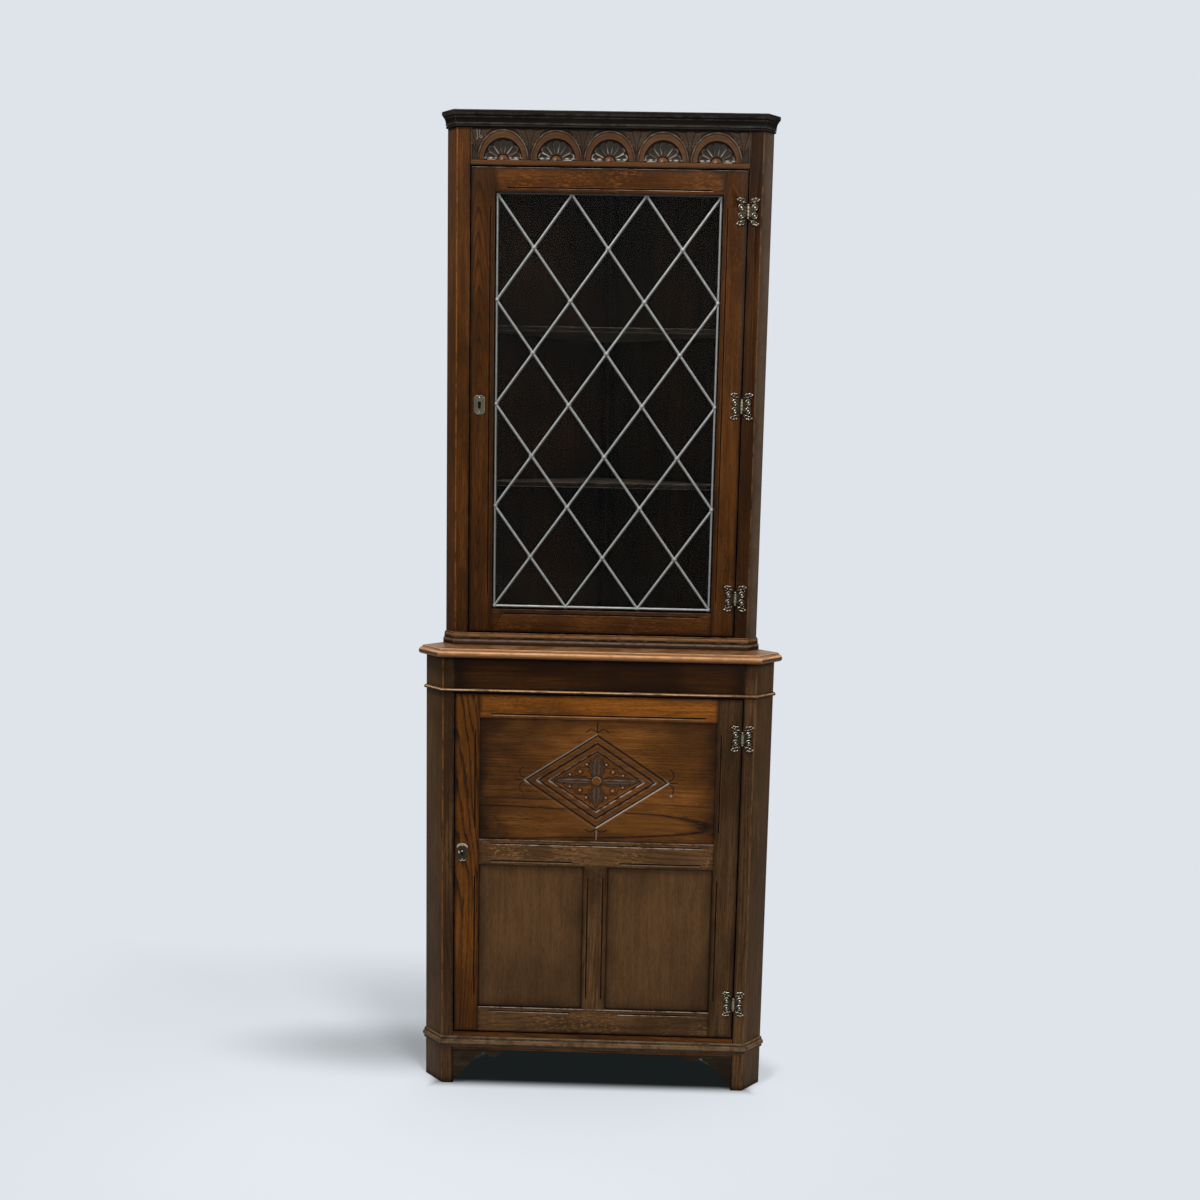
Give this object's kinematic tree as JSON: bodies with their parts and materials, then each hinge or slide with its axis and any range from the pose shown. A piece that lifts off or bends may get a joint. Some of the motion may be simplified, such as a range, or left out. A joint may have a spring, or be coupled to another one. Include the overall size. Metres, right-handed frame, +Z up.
{
  "type": "corner cupboard",
  "caption": "Two-stage oak corner cupboard: leaded glazed door over a carved panelled door, shelves behind both, moulded cornice, counter and plinth on canted bracket feet.",
  "frame": {"origin": "on the floor, at the middle of the bounding box's bottom face", "axes": "+Z up; the doors face -Y; the right-angled corner of the room lies towards +Y, its walls running at 45 degrees to left and right; +X is to the right as the front is seen from the room"},
  "size_m": [0.6822, 0.383, 1.8306],
  "materials": {
    "frame_oak": "dark stained, waxed oak with a worn sheen",
    "dark_oak": "near-black stained, waxed oak mouldings",
    "panel_oak": "dark stained, waxed oak panel",
    "inside_oak": "dull dark stain",
    "hinge_metal": "antiqued dark",
    "lock_steel": "dull",
    "lead_came": "dull grey lead",
    "quarry_glass": "clear"
  },
  "bodies": {
    "carcass": {"base_post_left": "frame_oak", "base_post_right": "frame_oak", "base_rear_post": "inside_oak", "base_back_left": "inside_oak", "base_back_right": "inside_oak", "base_floor": "inside_oak", "base_shelf": "inside_oak", "base_bottom_rail": "frame_oak", "base_bracket_left": "frame_oak", "base_bracket_right": "frame_oak", "base_apron": "dark_oak", "base_bead": "dark_oak", "plinth_moulding": "dark_oak", "counter": "frame_oak", "base_hinge_post_leaf_1": "hinge_metal", "base_hinge_post_leaf_2": "hinge_metal", "upper_foot_board": "dark_oak", "upper_floor": "inside_oak", "upper_post_left": "frame_oak", "upper_post_right": "frame_oak", "upper_rear_post": "inside_oak", "upper_back_left": "inside_oak", "upper_back_right": "inside_oak", "upper_shelf_low": "inside_oak", "upper_shelf_high": "inside_oak", "upper_frieze": "frame_oak", "upper_top_board": "inside_oak", "cornice": "dark_oak", "upper_base_moulding": "dark_oak", "upper_hinge_post_leaf_1": "hinge_metal", "upper_hinge_post_leaf_2": "hinge_metal", "upper_hinge_post_leaf_3": "hinge_metal"},
    "base_door": {"base_door_stile_left": "frame_oak", "base_door_stile_right": "frame_oak", "base_door_rail_top": "frame_oak", "base_door_rail_middle": "frame_oak", "base_door_rail_bottom": "frame_oak", "base_door_muntin": "frame_oak", "base_door_panel_carved": "panel_oak", "base_door_panel_left": "panel_oak", "base_door_panel_right": "panel_oak", "base_escutcheon": "hinge_metal", "base_lock_case": "lock_steel", "base_hinge_door_leaf_1": "hinge_metal", "base_hinge_door_leaf_2": "hinge_metal"},
    "base_bolt": {"base_lock_bolt": "lock_steel"},
    "upper_door": {"upper_door_stile_left": "frame_oak", "upper_door_stile_right": "frame_oak", "upper_door_rail_top": "frame_oak", "upper_door_rail_bottom": "frame_oak", "upper_door_glass": "quarry_glass", "upper_door_leads_front": "lead_came", "upper_door_leads_back": "lead_came", "upper_door_glazing_beads": "inside_oak", "upper_escutcheon": "hinge_metal", "upper_lock_case": "lock_steel", "upper_hinge_door_leaf_1": "hinge_metal", "upper_hinge_door_leaf_2": "hinge_metal", "upper_hinge_door_leaf_3": "hinge_metal"},
    "upper_bolt": {"upper_lock_bolt": "lock_steel"}
  },
  "joints": [
    {"name": "base_door_hinge", "type": "hinge", "parent": "carcass", "child": "base_door", "pos_m": [0.2694, -0.17722, 0.441], "axis": [0, 0, 1], "range_deg": [0, 135]},
    {"name": "upper_door_hinge", "type": "hinge", "parent": "carcass", "child": "upper_door", "pos_m": [0.2512, -0.1282, 1.309], "axis": [0, 0, 1], "range_deg": [0, 135]},
    {"name": "base_bolt_slide", "type": "slide", "parent": "base_door", "child": "base_bolt", "axis": [-1, 0, 0], "range_m": [0, 0.006]},
    {"name": "upper_bolt_slide", "type": "slide", "parent": "upper_door", "child": "upper_bolt", "axis": [-1, 0, 0], "range_m": [0, 0.006]}
  ]
}
